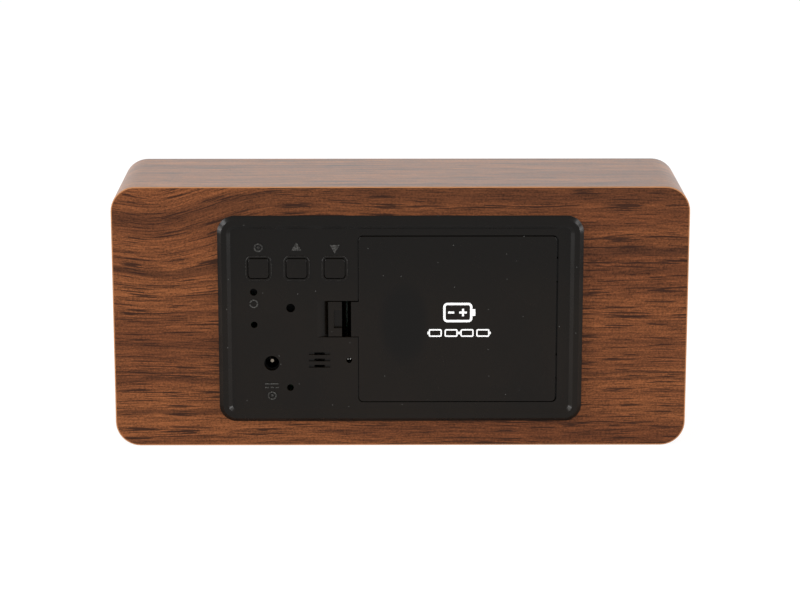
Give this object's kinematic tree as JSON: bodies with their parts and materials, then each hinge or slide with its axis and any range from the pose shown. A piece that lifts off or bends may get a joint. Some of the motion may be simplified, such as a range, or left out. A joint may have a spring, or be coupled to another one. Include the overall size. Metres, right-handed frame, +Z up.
{
  "type": "digital led desk clock",
  "caption": "Rounded wooden box clock whose figures shine through its front film, with a black rear panel of keys, power socket and latched battery cover.",
  "frame": {"origin": "middle of the underside, on the surface that the clock stands on", "axes": "+X along the width, to the right for someone who looks at the display; +Y from the display at the front to the rear panel; +Z up"},
  "size_m": [0.15, 0.0412, 0.0695],
  "materials": {
    "fibreboard": "milled fibreboard, matt",
    "walnut_wrap": "printed walnut film, satin",
    "walnut_back": "printed walnut film, satin",
    "walnut_front": "printed walnut film, satin, thin enough for light to pass",
    "glowing_figures": "walnut film lit from behind",
    "panel_black": "moulded, satin, fine grain",
    "cover_black": "moulded, satin, fine grain",
    "latch_black": "moulded, satin",
    "key_black": "moulded, satin",
    "reflector_white": "moulded, bright matt",
    "segment_filling": "cast resin, milky",
    "light_chip": "resin over a light-emitting chip",
    "board_green": "solder lacquer over glass laminate",
    "chip_black": "moulded epoxy",
    "chassis_black": "moulded, matt",
    "screw_steel": "zinc plated",
    "contact_nickel": "nickel plated strip",
    "spring_nickel": "nickel plated wire",
    "pin_nickel": "nickel plated, bright",
    "lead_black": "soft insulation, satin",
    "lead_red": "soft insulation, satin",
    "plunger_black": "moulded, satin",
    "switch_body": "moulded, matt",
    "socket_body": "moulded, satin",
    "buzzer_case": "moulded, satin",
    "microphone_can": "drawn can, satin",
    "bead_resin": "dipped resin",
    "tinned_wire": "tinned wire, bright",
    "crystal_can": "drawn can, bright",
    "capacitor_sleeve": "shrunk sleeve over an aluminium can",
    "header_white": "moulded, matt",
    "ribbon_grey": "soft insulation, satin",
    "cell_sleeve": "printed sleeve over a steel can, bright ends"
  },
  "bodies": {
    "clock": {"aaa_cell_1": "cell_sleeve", "aaa_cell_2": "cell_sleeve", "aaa_cell_3": "cell_sleeve", "aaa_cell_4": "cell_sleeve", "battery_springs": "spring_nickel", "buzzer": "buzzer_case", "case_core": "fibreboard", "chassis_screws": "screw_steel", "clock_crystal": "crystal_can", "contact_plates": "contact_nickel", "control_board": "board_green", "control_header": "header_white", "control_screws": "screw_steel", "controller_chip": "chip_black", "display_board": "board_green", "display_chassis": "chassis_black", "display_driver": "chip_black", "display_header": "header_white", "display_reflector": "reflector_white", "display_screws": "screw_steel", "down_switch": "switch_body", "filter_capacitor": "capacitor_sleeve", "front_veneer": "walnut_front", "lit_digits": "glowing_figures", "microphone": "microphone_can", "negative_lead": "lead_black", "panel_screws": "screw_steel", "positive_lead": "lead_red", "power_socket": "socket_body", "rear_panel": "panel_black", "rear_veneer": "walnut_back", "reset_switch": "switch_body", "ribbon_cable": "ribbon_grey", "segment_leds": "light_chip", "segment_lenses": "segment_filling", "sensor_bead": "bead_resin", "sensor_leads": "tinned_wire", "set_switch": "switch_body", "side_wrap": "walnut_wrap", "socket_contact": "contact_nickel", "socket_pin": "pin_nickel", "up_switch": "switch_body"},
    "battery_cover": {"battery_cover": "cover_black"},
    "cover_latch": {"cover_latch": "latch_black"},
    "set_key": {"set_button": "key_black", "set_plunger": "plunger_black"},
    "up_key": {"up_button": "key_black", "up_plunger": "plunger_black"},
    "down_key": {"down_button": "key_black", "down_plunger": "plunger_black"},
    "reset_key": {"reset_plunger": "plunger_black"}
  },
  "joints": [
    {"name": "cover_swing", "type": "hinge", "parent": "clock", "child": "battery_cover", "pos_m": [-0.0408, 0.0198, 0.0343], "axis": [0, 0, 1], "range_deg": [0, 40]},
    {"name": "latch_press", "type": "hinge", "parent": "battery_cover", "child": "cover_latch", "pos_m": [0.0141, 0.0124, 0.0344], "axis": [0, 0, 1], "range_deg": [0, 10], "stiffness_Nm_per_rad": 0.05},
    {"name": "set_press", "type": "slide", "parent": "clock", "child": "set_key", "axis": [0, -1, 0], "range_m": [0, 0.0005], "stiffness_N_per_m": 400},
    {"name": "up_press", "type": "slide", "parent": "clock", "child": "up_key", "axis": [0, -1, 0], "range_m": [0, 0.0005], "stiffness_N_per_m": 400},
    {"name": "down_press", "type": "slide", "parent": "clock", "child": "down_key", "axis": [0, -1, 0], "range_m": [0, 0.0005], "stiffness_N_per_m": 400},
    {"name": "reset_press", "type": "slide", "parent": "clock", "child": "reset_key", "axis": [0, -1, 0], "range_m": [0, 0.00025], "stiffness_N_per_m": 800}
  ]
}
